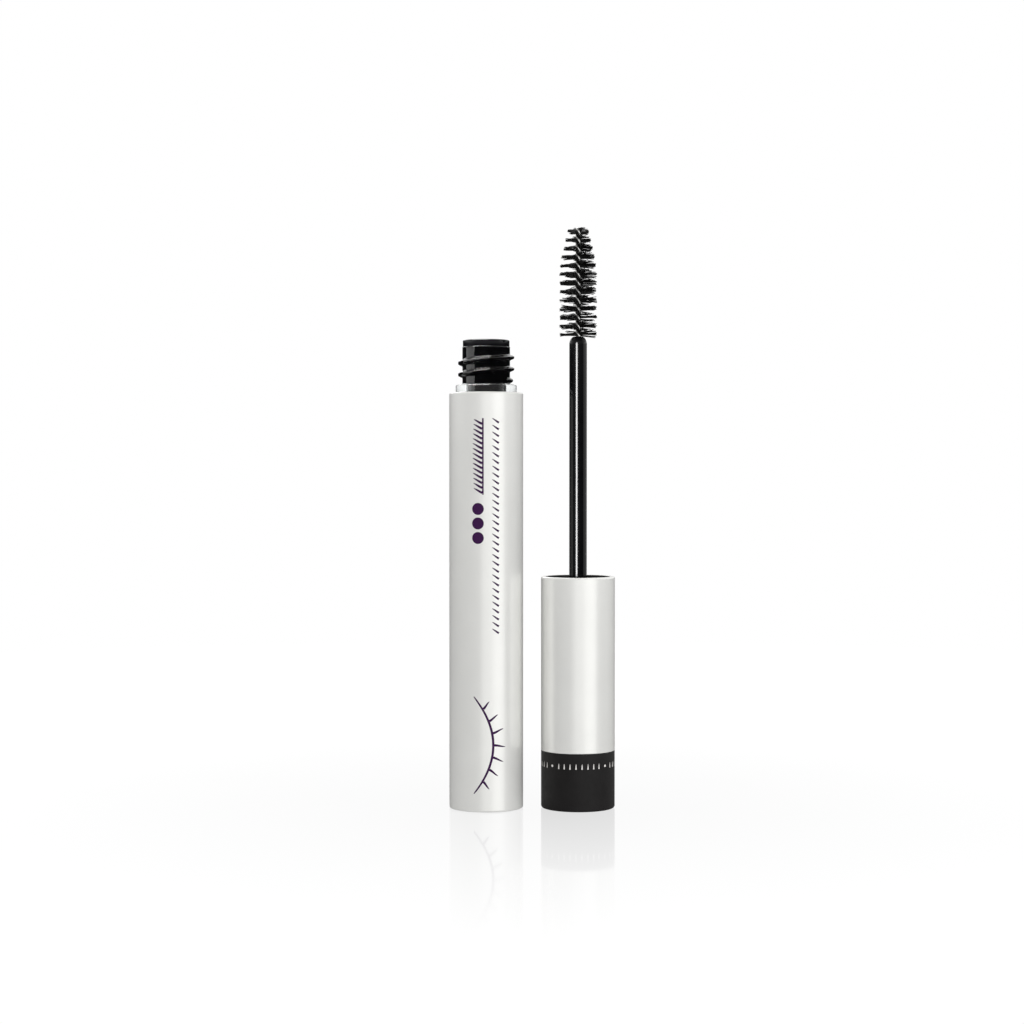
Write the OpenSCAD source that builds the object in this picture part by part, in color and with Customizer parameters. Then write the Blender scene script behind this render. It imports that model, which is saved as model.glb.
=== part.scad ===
// Open mascara. The tube stands upright with its threaded neck and wiper showing.
// The screw cap, which carries the rod and the twisted-wire brush, stands upside down beside it.
// The origin is the centre of the tube's base, +Z runs up the tube, and the wand stands towards +X.

/* [Body] */
// Outer diameter of the tube and of the cap
body_d = 16; // [15.6:0.2:18]
// Height of the tube's outer sleeve
tube_h = 90; // [86:1:100]
// Wall of the tube's outer sleeve
sleeve_wall = 1.35; // [1.2:0.05:1.4]
// Radius of the rounded outer edges
edge_r = 0.4; // [0.2:0.1:0.6]

/* [Bottle] */
// Wall of the clear bottle
bottle_wall = 1; // [0.8:0.1:1.2]
// Height of the clear shoulder that stands above the sleeve
shoulder_h = 1.7; // [1.4:0.1:2]
// Outer diameter of the neck, at the root of its thread
neck_d = 10.3; // [9.8:0.1:10.4]
// Height of the neck's rim above the sleeve
neck_h = 9.9; // [9.4:0.1:10.6]
// Wall of the neck
neck_wall = 0.75; // [0.7:0.05:0.85]

/* [Thread] */
// Outer diameter of the neck's thread
thread_d = 12.15; // [11.8:0.05:12.2]
// Rise of the thread in one turn
thread_pitch = 2.5; // [2.3:0.1:2.6]
// Height above the sleeve of the thread's lower end
thread_start = 2.6; // [2.5:0.1:2.8]
// Turns of thread on the neck
thread_turns = 2.3; // [1.8:0.1:2.4]

/* [Wiper] */
// Diameter of the wiper's flange
flange_d = 10.1; // [9.6:0.1:10.2]
// Thickness of the wiper's flange
flange_t = 1.45; // [1.2:0.05:1.6]
// Length of the wiper's wiping lip
lip_len = 1.5; // [1:0.1:2]

/* [Mascara] */
// Height of the mascara in the bottle
paste_level = 78; // [40:1:82]
// Diameter of the well that the brush leaves in the mascara
well_d = 8.8; // [8.6:0.1:9.2]

/* [Cap] */
// Length of the cap with its end band
cap_l = 50.2; // [48:0.1:54]
// Length of the dark end band
band_h = 12.5; // [10:0.5:14]
// Wall of the cap's outer sleeve
cap_wall = 1; // [0.8:0.1:1.1]
// Depth of the recess in the cap's mouth that takes the bottle's shoulder
mouth_depth = 2.1; // [2.05:0.05:2.3]

/* [Wand] */
// Diameter of the rod
rod_d = 3.8; // [3.4:0.1:4]
// Length of the rod beyond the cap's mouth
rod_l = 51.9; // [50:0.1:53]
// Length of the rod's rounded end
nose_l = 1.66; // [1.4:0.02:2]
// Distance between the tube's axis and the wand's axis
wand_x = 19.9; // [19:0.1:40]

/* [Brush] */
// Length of the brush
brush_l = 23.7; // [20:0.1:25]
// Diameter of the brush
brush_d = 8.2; // [6:0.1:8.2]
// Diameter of the brush at its tip
brush_tip_d = 4.3; // [3:0.1:6]
// Length over which the brush narrows to its tip
taper_l = 9.5; // [6:0.5:14]
// Spacing of the rows of bristles, which is half a turn of the twisted wire
row_pitch = 1.86; // [1.6:0.02:2.4]
// Diameter of one strand of the wire
strand_d = 0.62; // [0.5:0.02:0.64]

/* [Fits] */
// Radial gap between pieces that are fixed to each other
fixed_gap = 0.05; // [0.03:0.01:0.08]
// Radial gap between the wiper's lip and the rod
lip_gap = 0.05; // [0.03:0.01:0.1]
// Radial gap between the two threads
thread_gap = 0.2; // [0.15:0.01:0.25]

/* [Pose] */
// Whether the wand is screwed home in the tube instead of standing beside it
wand_seated = false; // [false, true]

/* [Hidden] */
$fn = 96;

body_r = body_d / 2;
sleeve_in_r = body_r - sleeve_wall;
shoulder_r = sleeve_in_r - fixed_gap;
bottle_in_r = shoulder_r - bottle_wall;
neck_r = neck_d / 2;
neck_in_r = neck_r - neck_wall;
neck_top = tube_h + neck_h;
thread_r = thread_d / 2;
rod_r = rod_d / 2;

// Gaps and small breaks on pieces that never move against each other
hair_gap = 0.02;
press_gap = 0.03;
break_r = 0.15;

// The base plug and the bottle's floor
plug_t = 1.2;
plug_groove = [4.2, 4.9, 0.25];
floor_z = plug_t + fixed_gap + 1.2;

// The wiper hangs inside the neck: its stem narrows below the sleeve's top to the lip
wiper_r = neck_in_r - hair_gap;
wiper_bore_r = 3.5;
stem_end = tube_h - 0.5;
lip_z = tube_h - 3.5;
lip_r = rod_r + lip_gap;
lip_wall = 0.6;

// The ridge of the thread: its width at the root and at the crest, the angle over which an end fades,
// and the angle from +X at which both threads start
ridge_root = 1.5;
ridge_crest = 0.4;
ridge_fade = 50;
thread_from = -30;

// The cap's inner pieces, measured from the cap's end
seal_t = 0.75;
seal_z = cap_l - neck_h - flange_t - fixed_gap - seal_t;
web_t = 2;
web_z = seal_z - web_t;
liner_r = body_r - cap_wall - fixed_gap;
liner_wall = 0.65;
thread_bore_r = thread_r + thread_gap;
cap_thread_turns = 1.75;
cap_thread_rise = 2 * thread_pitch;
mouth_r = shoulder_r + 0.1;
spigot_l = 4;
spigot_wall = 0.75;
band_wall = 1.2;
band_end_t = 1.6;
liner_foot = band_h + spigot_l + 0.2;

// The rod's root sits in the liner's socket, where a bead snaps into a groove
socket_depth = 9;
socket_wall = 1.5;
root_z = web_z - socket_depth + web_t;
bead_z = root_z + 2;
bead_l = 1;
bead_r = rod_r + 0.2;
rod_top = cap_l + rod_l;
nose_r = 0.85;
wire_hole_r = strand_d + 0.06;
wire_depth = 8;

// The twisted wire and the rows of bristles
strand_r = strand_d / 2;
strand_offset = strand_r + 0.01;
first_row = rod_top + 0.45;
brush_top = rod_top + brush_l;
brush_r = brush_d / 2;
blade_t = 0.5;
strand_steps = 12;

closed_l = tube_h + cap_l;

// Points on an arc about a centre, from one angle to another
function arc(centre, r, from, to, steps = 5) =
    [for (i = [0:steps]) let(a = from + (to - from) * i / steps) centre + r * [cos(a), sin(a)]];

// A round piece from its half outline, as [radius, height] points
module turned(outline) {
    rotate_extrude() polygon(outline);
}

// A solid that runs through a list of rings, closed at both ends
module skin(rings) {
    m = len(rings[0]);
    last = len(rings) - 1;
    sides = [for (i = [0:last - 1], j = [0:m - 1])
        let(a = i * m + j, b = i * m + (j + 1) % m)
        each [[a, b, b + m], [a, b + m, a + m]]];
    ends = [[for (j = [m - 1:-1:0]) j], [for (j = [0:m - 1]) last * m + j]];
    polyhedron([for (ring = rings) each ring], concat(sides, ends));
}

// A point in the vertical half plane at an angle about Z
function swung(r, angle, z) = [r * cos(angle), r * sin(angle), z];

// A right-hand ridge that starts at height z on the side of an angle. It stands out from root_r to crest_r,
// or inwards where crest_r is the smaller, and it is let 0.2 mm into the wall.
module thread_ridge(root_r, crest_r, z, from, turns) {
    steps = ceil(turns * 30);
    sweep = turns * 360;
    side = sign(crest_r - root_r);
    depth = abs(crest_r - root_r);
    let_in = 0.2;
    slope = (ridge_root - ridge_crest) / 2 / depth;
    half_foot = ridge_root / 2 + slope * let_in;
    rings = [for (i = [0:steps])
        let(along = sweep * i / steps,
            angle = from + along,
            mid = z + thread_pitch * along / 360,
            grown = min(1, along / ridge_fade, (sweep - along) / ridge_fade),
            tip = depth * grown - 0.1 * (1 - grown),
            half_tip = ridge_root / 2 - slope * tip,
            foot_r = root_r - side * let_in,
            tip_r = root_r + side * tip)
        [swung(foot_r, angle, mid - side * half_foot), swung(tip_r, angle, mid - side * half_tip),
         swung(tip_r, angle, mid + side * half_tip), swung(foot_r, angle, mid + side * half_foot)]];
    skin(rings);
}

// The wand's pieces are drawn on their own axis, standing on the cap's end
module wand_place() {
    if (wand_seated) translate([0, 0, closed_l]) rotate([0, 180, 0]) children();
    else translate([wand_x, 0, 0]) children();
}

// --- Tube ---

module tube_sleeve() {
    color("#e9e9e6") turned(concat(
        [[sleeve_in_r, 0]],
        arc([body_r - edge_r, edge_r], edge_r, -90, 0),
        arc([body_r - edge_r, tube_h - edge_r], edge_r, 0, 90),
        [[sleeve_in_r, tube_h]]));
}

module base_plug() {
    r = sleeve_in_r - fixed_gap;
    color("#dededb") difference() {
        cylinder(r = r, h = plug_t);
        translate([0, 0, -1]) difference() {
            cylinder(r = plug_groove[1], h = 1 + plug_groove[2]);
            cylinder(r = plug_groove[0], h = 1 + plug_groove[2]);
        }
    }
}

module bottle() {
    foot = plug_t + fixed_gap;
    heel = 1.2;
    toe = 0.8;
    color("#c9d2d2", 0.4) union() {
        turned(concat(
            [[0, foot]],
            arc([shoulder_r - heel, foot + heel], heel, -90, 0),
            arc([shoulder_r - edge_r, tube_h + shoulder_h - edge_r], edge_r, 0, 90),
            [[neck_r, tube_h + shoulder_h], [neck_r, neck_top - 0.2], [neck_r - 0.2, neck_top],
             [neck_in_r, neck_top], [neck_in_r, tube_h - 0.1], [bottle_in_r, tube_h - 1.4]],
            arc([bottle_in_r - toe, floor_z + toe], toe, 0, -90),
            [[0, floor_z]]));
        thread_ridge(neck_r, thread_r, tube_h + thread_start + thread_pitch * thread_from / 360,
                     thread_from, thread_turns);
    }
}

module wiper() {
    top = neck_top + flange_t;
    color("#161616") turned(concat(
        [[flange_d / 2, neck_top]],
        arc([flange_d / 2 - 0.25, top - 0.25], 0.25, 0, 90),
        [[wiper_bore_r + 0.4, top], [wiper_bore_r, top - 0.6], [wiper_bore_r, tube_h + 4],
         [lip_r, lip_z + lip_len], [lip_r, lip_z], [lip_r + lip_wall, lip_z],
         [wiper_r, stem_end], [wiper_r, neck_top]]));
}

module mascara_paste() {
    r = bottle_in_r - hair_gap;
    low = floor_z + hair_gap;
    heel = 0.8;
    well_r = well_d / 2;
    well_z = 9;
    color("#0c0b0d") turned(concat(
        [[0, low]],
        arc([r - heel, low + heel], heel, -90, 0),
        [[r, paste_level], [well_r + 0.3, paste_level + 1.5], [well_r, paste_level]],
        arc([0, well_z + well_r], well_r, 0, -90, 8)));
}

// --- Cap and wand ---

module cap_sleeve() {
    r = body_r - cap_wall;
    color("#e9e9e6") wand_place() turned(concat(
        [[r, band_h], [body_r - break_r, band_h], [body_r, band_h + break_r]],
        arc([body_r - edge_r, cap_l - edge_r], edge_r, 0, 90),
        [[r + 0.1, cap_l], [r, cap_l - 0.1]]));
}

module end_band() {
    heel = 0.5;
    top = band_h - hair_gap;
    spigot_r = body_r - cap_wall - fixed_gap;
    color("#262323") wand_place() turned(concat(
        [[0, 0]],
        arc([body_r - heel, heel], heel, -90, 0),
        [[body_r, top - break_r], [body_r - break_r, top], [spigot_r, top],
         [spigot_r, band_h + spigot_l - 0.3], [spigot_r - 0.3, band_h + spigot_l],
         [spigot_r - spigot_wall, band_h + spigot_l], [spigot_r - spigot_wall, band_h - 1.5],
         [body_r - band_wall, band_h - 2.5], [body_r - band_wall, band_end_t], [0, band_end_t]]));
}

module cap_liner() {
    bore_r = rod_r + press_gap;
    groove_r = bead_r + press_gap;
    foot = root_z - 0.1;
    color("#141414") wand_place() union() {
        turned([[0, foot - 1], [bore_r + socket_wall, foot - 1], [bore_r + socket_wall, web_z],
                [liner_r - liner_wall, web_z], [liner_r - liner_wall, liner_foot], [liner_r, liner_foot],
                [liner_r, cap_l - break_r], [liner_r - 0.1, cap_l], [mouth_r, cap_l],
                [mouth_r, cap_l - mouth_depth], [thread_bore_r + 0.1, cap_l - mouth_depth],
                [thread_bore_r, cap_l - mouth_depth - 0.1], [thread_bore_r, web_z + web_t],
                [bore_r, web_z + web_t], [bore_r, bead_z + bead_l + 0.05],
                [groove_r, bead_z + bead_l - 0.15], [groove_r, bead_z + 0.15], [bore_r, bead_z - 0.05],
                [bore_r, foot], [0, foot]]);
        thread_ridge(thread_bore_r, neck_r + thread_gap,
                     cap_l - thread_start - cap_thread_rise + thread_pitch * thread_from / 360,
                     thread_from, cap_thread_turns);
    }
}

module seal_ring() {
    outer = thread_bore_r - 0.2;
    inner = rod_r + 0.15;
    color("#2b2b2b") wand_place() translate([0, 0, seal_z + hair_gap]) difference() {
        cylinder(r = outer, h = seal_t - hair_gap);
        translate([0, 0, -1]) cylinder(r = inner, h = seal_t + 2);
    }
}

module rod() {
    steps = 6;
    nose = [for (i = [0:steps]) let(a = 90 * i / steps)
        [nose_r + (rod_r - nose_r) * cos(a), rod_top - nose_l * (1 - sin(a))]];
    color("#0b0b0c") wand_place() turned(concat(
        [[0, root_z], [rod_r - 0.3, root_z], [rod_r, root_z + 0.3], [rod_r, bead_z],
         [bead_r, bead_z + 0.2], [bead_r, bead_z + bead_l - 0.2], [rod_r, bead_z + bead_l]],
        nose,
        [[wire_hole_r, rod_top], [wire_hole_r, rod_top - wire_depth], [0, rod_top - wire_depth]]));
}

// The angle of the bristles at a height: the wire is twisted left-handed
function row_angle(z) = -180 * (z - first_row) / row_pitch;

// A strand's place, its outward normal and its direction of travel at a height
function strand(z, side, travel) =
    let(a = row_angle(z) + 90 + side,
        lean = -PI * strand_offset / row_pitch,
        run = [-lean * sin(a), lean * cos(a), 1] / sqrt(1 + lean * lean))
    [swung(strand_offset, a, z), swung(1, a, 0), travel * run];

// The bend that joins the strands at the brush's tip
function bend(z, angle) =
    let(a = row_angle(z) + 90, out = swung(1, a, 0), up = [0, 0, 1])
    [[0, 0, z] + strand_offset * (cos(angle) * out + sin(angle) * up),
     cos(angle) * out + sin(angle) * up,
     cos(angle) * up - sin(angle) * out];

// One wire folded in two: up one strand, over the bend and down the other
module core_wire() {
    low = rod_top - wire_depth + 0.3;
    high = brush_top - strand_offset - strand_r;
    steps = ceil((high - low) / (2 * row_pitch) * strand_steps);
    rise = (high - low) / steps;
    path = concat(
        [for (i = [0:steps]) strand(low + i * rise, 0, 1)],
        [for (a = [30:30:150]) bend(high, a)],
        [for (i = [steps:-1:0]) strand(low + i * rise, 180, -1)]);
    sides = 6;
    color("#c8c8c6") wand_place() skin([for (p = path)
        let(across = cross(p[2], p[1]))
        [for (j = [0:sides - 1]) let(a = 360 * j / sides)
            p[0] + strand_r * (cos(a) * p[1] - sin(a) * across)]]);
}

// Radius of the brush at a height
function brush_radius(z) =
    let(t = max(0, (z - (brush_top - taper_l)) / taper_l))
    brush_r - (brush_r - brush_tip_d / 2) * pow(t, 1.35);

// The bristles stand between the strands, as two blades that wind up the wire
module bristles() {
    low = rod_top + 0.15;
    high = brush_top - 0.25;
    inner = 2 * strand_r + 0.04;
    steps = ceil((high - low) / (2 * row_pitch) * 14);
    color("#101010") wand_place() for (side = [0, 180])
        skin([for (i = [0:steps])
            let(z = low + (high - low) * i / steps,
                a = row_angle(z) + side,
                out = swung(1, a, 0),
                across = swung(blade_t / 2, a + 90, 0))
            [[0, 0, z] + inner * out - across, [0, 0, z] + brush_radius(z) * out - across,
             [0, 0, z] + brush_radius(z) * out + across, [0, 0, z] + inner * out + across]]);
}

tube_sleeve();
base_plug();
bottle();
wiper();
mascara_paste();
cap_sleeve();
end_band();
cap_liner();
seal_ring();
rod();
core_wire();
bristles();
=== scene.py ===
"""Open mascara for Blender: the tube upright, and the wand standing beside it on the cap's end.

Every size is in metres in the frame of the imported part: +Z runs up the tube from the centre of its
base, and the wand stands towards +X. The operators build one piece or group of like pieces each.
"""

import math

import bmesh
import bpy
from bpy.props import (
    FloatProperty, FloatVectorProperty, IntProperty, PointerProperty,
)
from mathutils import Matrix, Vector


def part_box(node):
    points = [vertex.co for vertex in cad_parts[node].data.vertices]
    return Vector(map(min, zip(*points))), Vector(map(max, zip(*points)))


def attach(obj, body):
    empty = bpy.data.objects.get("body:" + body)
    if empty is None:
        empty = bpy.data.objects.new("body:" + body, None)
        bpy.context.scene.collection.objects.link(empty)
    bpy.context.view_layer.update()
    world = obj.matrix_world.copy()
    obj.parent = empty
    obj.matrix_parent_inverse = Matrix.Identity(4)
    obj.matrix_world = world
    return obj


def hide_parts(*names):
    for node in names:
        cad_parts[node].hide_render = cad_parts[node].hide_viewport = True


bl_info = {
    "name": "Open Mascara",
    "version": (1, 0, 0),
    "blender": (4, 5, 0),
    "location": "View3D > Sidebar > Mascara",
    "description": "Builds an open mascara tube with its wand beside it",
    "category": "Add Mesh",
}

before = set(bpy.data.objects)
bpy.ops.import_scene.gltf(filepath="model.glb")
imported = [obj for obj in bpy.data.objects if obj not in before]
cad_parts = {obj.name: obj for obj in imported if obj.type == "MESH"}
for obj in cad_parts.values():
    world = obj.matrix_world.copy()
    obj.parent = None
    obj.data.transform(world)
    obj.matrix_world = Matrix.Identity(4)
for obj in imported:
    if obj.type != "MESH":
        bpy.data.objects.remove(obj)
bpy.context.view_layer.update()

MM = 0.001
SEGMENTS = 160
SHARP_ANGLE = math.radians(32)


def radius_of(low, high):
    """Radius of an upright round node, from the corners of its box."""
    return (high.x - low.x) / 2


SLEEVE_LOW, SLEEVE_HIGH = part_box("tube_sleeve")
CAP_LOW, CAP_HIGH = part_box("cap_sleeve")
BAND_LOW, BAND_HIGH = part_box("end_band")
BOTTLE_LOW, BOTTLE_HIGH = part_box("bottle")
WIPER_LOW, WIPER_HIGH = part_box("wiper")
LINER_LOW, LINER_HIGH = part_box("cap_liner")
SEAL_LOW, SEAL_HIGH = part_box("seal_ring")
ROD_LOW, ROD_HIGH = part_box("rod")
WIRE_LOW, WIRE_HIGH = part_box("core_wire")
BRUSH_LOW, BRUSH_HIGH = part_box("bristles")
PLUG_LOW, PLUG_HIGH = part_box("base_plug")
PASTE_LOW, PASTE_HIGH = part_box("mascara_paste")

TUBE_AXIS = Vector((0, 0, 0))
WAND_AXIS = Vector(((CAP_LOW.x + CAP_HIGH.x) / 2, 0, 0))
BODY_R = radius_of(SLEEVE_LOW, SLEEVE_HIGH)
SHOULDER_R = radius_of(BOTTLE_LOW, BOTTLE_HIGH)
PLUG_R = radius_of(PLUG_LOW, PLUG_HIGH)
LINER_R = radius_of(LINER_LOW, LINER_HIGH)
TUBE_TOP = SLEEVE_HIGH.z
CAP_TOP = CAP_HIGH.z
BAND_TOP = CAP_LOW.z
NECK_TOP = BOTTLE_HIGH.z

# How far the sleeves' walls stay clear of the pieces inside them
SLEEVE_GAP = 0.05 * MM

# The threads: turns on the neck and in the inner cap, where they start, how gently each end
# rises, and how wide the ridge is at its root and its crest
NECK_TURNS = 2.3
LINER_TURNS = 1.75
THREAD_FROM = math.radians(-30)
THREAD_FADE = math.radians(50)
RIDGE_ROOT = 1.5 * MM
RIDGE_CREST = 0.35 * MM

# The wiper's stem laps this far into the neck's wall, and lower down it clears the wall by as much
WET_LAP = 0.03 * MM

# The brush: its first row above the rod, its tapered tip, the filaments in a bundle, the mesh of
# one filament, and how far the filaments wander
FIRST_ROW = 0.45 * MM
TIP_R = 2.15 * MM
TAPER_LENGTH = 9.5 * MM
BUNDLE = 6
TAPER_POWER = 1.35
FILAMENT_RINGS = 9
FILAMENT_SIDES = 5
DRIFT_SCALE = 900.0
DRIFT = 0.5 * MM

# The print: how deep it starts below the wall's surface, and how far it stands above it
PRINT_SINK = 0.04 * MM
INK_FILM = 0.012 * MM

# The floor: its radius, how far it lies below the object, and the radius of its glossy middle
FLOOR_R = 0.45
FLOOR_DROP = 0.02 * MM
GLOSS_R = 0.15

# The surround that gloss mirrors: how bright it is in front, overhead and low down, and the
# directions in Y, in Z near the horizon and in Z overhead over which it changes
FRONT_LEVEL = 0.1
LOW_FRONT_LEVEL = 0.3
FROM_FRONT = (-0.5, 0.1)
ABOVE_HORIZON = (0.085, 0.12)
OVERHEAD = (0.5, 0.65)

# The point on the neck that its own two lamps face
NECK_AIM = (0, 0, 0.096)


# ---------------------------------------------------------------- settings


def length(name, default, description):
    """A length property in metres."""
    return FloatProperty(name=name, default=default, description=description,
                         unit="LENGTH", precision=5)


def colour(name, default, description):
    """A colour property, linear."""
    return FloatVectorProperty(name=name, default=default, description=description,
                               subtype="COLOR", size=3, min=0, max=1)


class MascaraSizes(bpy.types.PropertyGroup):
    """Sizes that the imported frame's boxes don't give."""

    edge: length("Edge radius", 0.4 * MM, "Rounding of the sleeves' outer edges")
    neck: length("Neck diameter", 10.3 * MM, "Neck diameter at the root of its thread")
    neck_wall: length("Neck wall", 0.75 * MM, "Wall of the neck")
    bottle_wall: length("Bottle wall", 1.0 * MM, "Wall of the clear bottle")
    shoulder: length("Shoulder height", 1.7 * MM, "Height of the clear shoulder above the sleeve")
    thread: length("Thread diameter", 12.15 * MM, "Outer diameter of the neck's thread")
    pitch: length("Thread pitch", 2.5 * MM, "Rise of the thread in one turn")
    thread_start: length("Thread start", 2.39 * MM, "Height of the thread's lower end above the sleeve")
    thread_gap: length("Thread gap", 0.2 * MM, "Radial gap between the two threads")
    rod: length("Rod diameter", 3.8 * MM, "Diameter of the rod")
    nose: length("Rod nose", 1.66 * MM, "Length of the rod's rounded end")
    strand: length("Wire strand", 0.62 * MM, "Diameter of one strand of the brush's wire")
    row: length("Row spacing", 1.86 * MM, "Spacing of the rows of bristles, half a turn of the wire")


class MascaraBrush(bpy.types.PropertyGroup):
    """The bristles."""

    count: IntProperty(name="Bristles", default=700, min=50, max=1200,
                       description="Filaments held between the strands of the wire")
    filament: length("Filament diameter", 0.13 * MM, "Diameter of a filament")
    spread: FloatProperty(name="Spread", default=math.radians(8.5), subtype="ANGLE",
                          description="How far a bundle of filaments strays from its place in the helix")
    seed: IntProperty(name="Seed", default=4, description="Seed of the random spread")


class MascaraFinish(bpy.types.PropertyGroup):
    """Colours of the finishes."""

    pearl: colour("Pearl white", (0.80, 0.80, 0.775), "Lacquer of the two sleeves")
    band: colour("Band black", (0.0085, 0.0076, 0.0076), "Soft-touch end band")
    ink: colour("Sleeve ink", (0.034, 0.005, 0.050), "Printed marks on the tube")
    band_ink: colour("Band ink", (0.62, 0.60, 0.58), "Printed marks on the end band")
    wire: colour("Wire", (0.86, 0.86, 0.84), "Stainless wire of the brush")


class MascaraStage(bpy.types.PropertyGroup):
    """Camera and lights."""

    lens: FloatProperty(name="Lens", default=77.97, unit="CAMERA", description="Focal length")
    distance: length("Camera distance", 0.48075, "Distance of the camera from the tube's axis")
    height: length("Camera height", 0.07385, "Height of the camera above the floor")
    aside: length("Camera offset", 0.00559, "Sideways place of the camera, towards the wand")
    tilt: FloatProperty(name="Camera tilt", default=math.radians(1.157), subtype="ANGLE",
                        description="How far the camera looks down")
    ambient: FloatProperty(name="Ambient", default=0.92, min=0, description="Soft light from all round")
    shade: FloatProperty(name="Dark surround", default=0.015, min=0,
                         description="What a gloss surface mirrors near the horizon")
    mirror: FloatProperty(name="Floor gloss", default=0.30, min=0, max=1,
                          description="Share of the light that the floor mirrors")
    key: FloatProperty(name="Key light", default=1.05, min=0, description="Power of the key light, in watts")
    fill: FloatProperty(name="Fill light", default=0.65, min=0,
                        description="Power of the softbox behind the camera, in watts")
    top: FloatProperty(name="Top light", default=0.9, min=0, description="Power of the top light, in watts")
    strip: FloatProperty(name="Strip light", default=5.6, min=0,
                         description="Power of the narrow light that the rod mirrors, in watts")
    rim: FloatProperty(name="Rim light", default=0.45, min=0,
                       description="Power of the panel on the rod's right, in watts")
    side: FloatProperty(name="Side light", default=0.35, min=0,
                        description="Power of the panel on the neck's left, in watts")
    crown: FloatProperty(name="Neck light", default=12.0, min=0,
                         description="Power of the softbox above the neck's left, in watts")
    back: FloatProperty(name="Back light", default=0.8, min=0,
                        description="Power of the softbox behind, in watts")


class MascaraSettings(bpy.types.PropertyGroup):
    """All settings of the add-on."""

    sizes: PointerProperty(type=MascaraSizes)
    brush: PointerProperty(type=MascaraBrush)
    finish: PointerProperty(type=MascaraFinish)
    stage: PointerProperty(type=MascaraStage)


# ---------------------------------------------------------------- meshes


def arc(centre, radius, start, end, steps=7):
    """Points (r, z) on an arc about a centre, from one angle in degrees to another."""
    turns = [math.radians(start + (end - start) * i / steps) for i in range(steps + 1)]
    return [(centre[0] + radius * math.cos(a), centre[1] + radius * math.sin(a)) for a in turns]


def shade(mesh):
    """Smooth faces, with sharp edges kept where the surface turns a corner."""
    mesh.polygons.foreach_set("use_smooth", [True] * len(mesh.polygons))
    mesh.set_sharp_from_angle(angle=SHARP_ANGLE)


def object_from(name, mesh, material):
    """A new object at the origin that shows a mesh with one material."""
    mesh.materials.clear()
    mesh.materials.append(material)
    piece = bpy.data.objects.new(name, mesh)
    bpy.context.scene.collection.objects.link(piece)
    return piece


def turned(name, outline, axis, material, ridge=None, segments=SEGMENTS):
    """A closed round piece from its half outline of (r, z) points.

    An outline that ends on the axis at both ends closes there in two poles, and any other outline
    closes on itself as a ring. ridge(angle, r, z) gives a radius that replaces r, as on a thread.
    """
    on_axis = outline[0][0] == 0 and outline[-1][0] == 0
    mesh = bpy.data.meshes.new(name)
    bm = bmesh.new()
    rings = []
    for r, z in outline:
        if r == 0:
            rings.append([bm.verts.new((axis.x, axis.y, z))] * segments)
            continue
        ring = []
        for i in range(segments):
            a = 2 * math.pi * i / segments
            wide = ridge(a, r, z) if ridge else r
            ring.append(bm.verts.new((axis.x + wide * math.cos(a), axis.y + wide * math.sin(a), z)))
        rings.append(ring)
    pairs = list(zip(rings, rings[1:]))
    if not on_axis:
        pairs.append((rings[-1], rings[0]))
    for low, high in pairs:
        for i in range(segments):
            j = (i + 1) % segments
            corners = list(dict.fromkeys((low[i], low[j], high[j], high[i])))
            if len(corners) > 2:
                bm.faces.new(corners)
    bmesh.ops.recalc_face_normals(bm, faces=bm.faces)
    bm.to_mesh(mesh)
    bm.free()
    shade(mesh)
    return object_from(name, mesh, material)


def place(piece, body, node=None):
    """Hangs a piece on the empty of the body it rides on, and hides the CAD node it stands for, if one is
    given.
    """
    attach(piece, body)
    if node:
        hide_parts(node)
    return piece


def thread_ridge(sizes, root_r, crest_r, low, start, turns, root_w, crest_w):
    """A function of (angle, r, z) that raises a right-hand thread on a wall of radius root_r."""
    sweep = turns * 2 * math.pi
    slope = (root_w - crest_w) / 2

    def radius(angle, r, z):
        if abs(r - root_r) > 1e-7:
            return r
        best = 0.0
        along = (angle - start) % (2 * math.pi)
        while along <= sweep:
            grown = min(1.0, along / THREAD_FADE, (sweep - along) / THREAD_FADE)
            middle = low + sizes.pitch * along / (2 * math.pi)
            side = (root_w / 2 - abs(z - middle)) / slope
            side = min(1.0, max(0.0, side))
            best = max(best, grown * side * side * (3 - 2 * side))
            along += 2 * math.pi
        return root_r + (crest_r - root_r) * best

    return radius


def fine_steps(r, low, high, step):
    """Points up a straight wall, close enough together to carry a thread."""
    count = max(1, round(abs(high - low) / step))
    return [(r, low + (high - low) * i / count) for i in range(count + 1)]


# ---------------------------------------------------------------- Geometry Nodes


class NodeMaker:
    """Adds nodes to the node tree that a subclass holds."""

    def feed(self, target, value):
        """Gives an input a number, or links a socket to it."""
        if isinstance(value, bpy.types.NodeSocket):
            self.links.new(value, target)
        else:
            target.default_value = value

    def add(self, kind, settings=None, **values):
        """A node with its settings, and its inputs by name: a number, or a socket to link from."""
        node = self.nodes.new(kind)
        for key, value in (settings or {}).items():
            setattr(node, key, value)
        for key, value in values.items():
            self.feed(node.inputs[key.replace("_", " ")], value)
        return node


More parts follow.
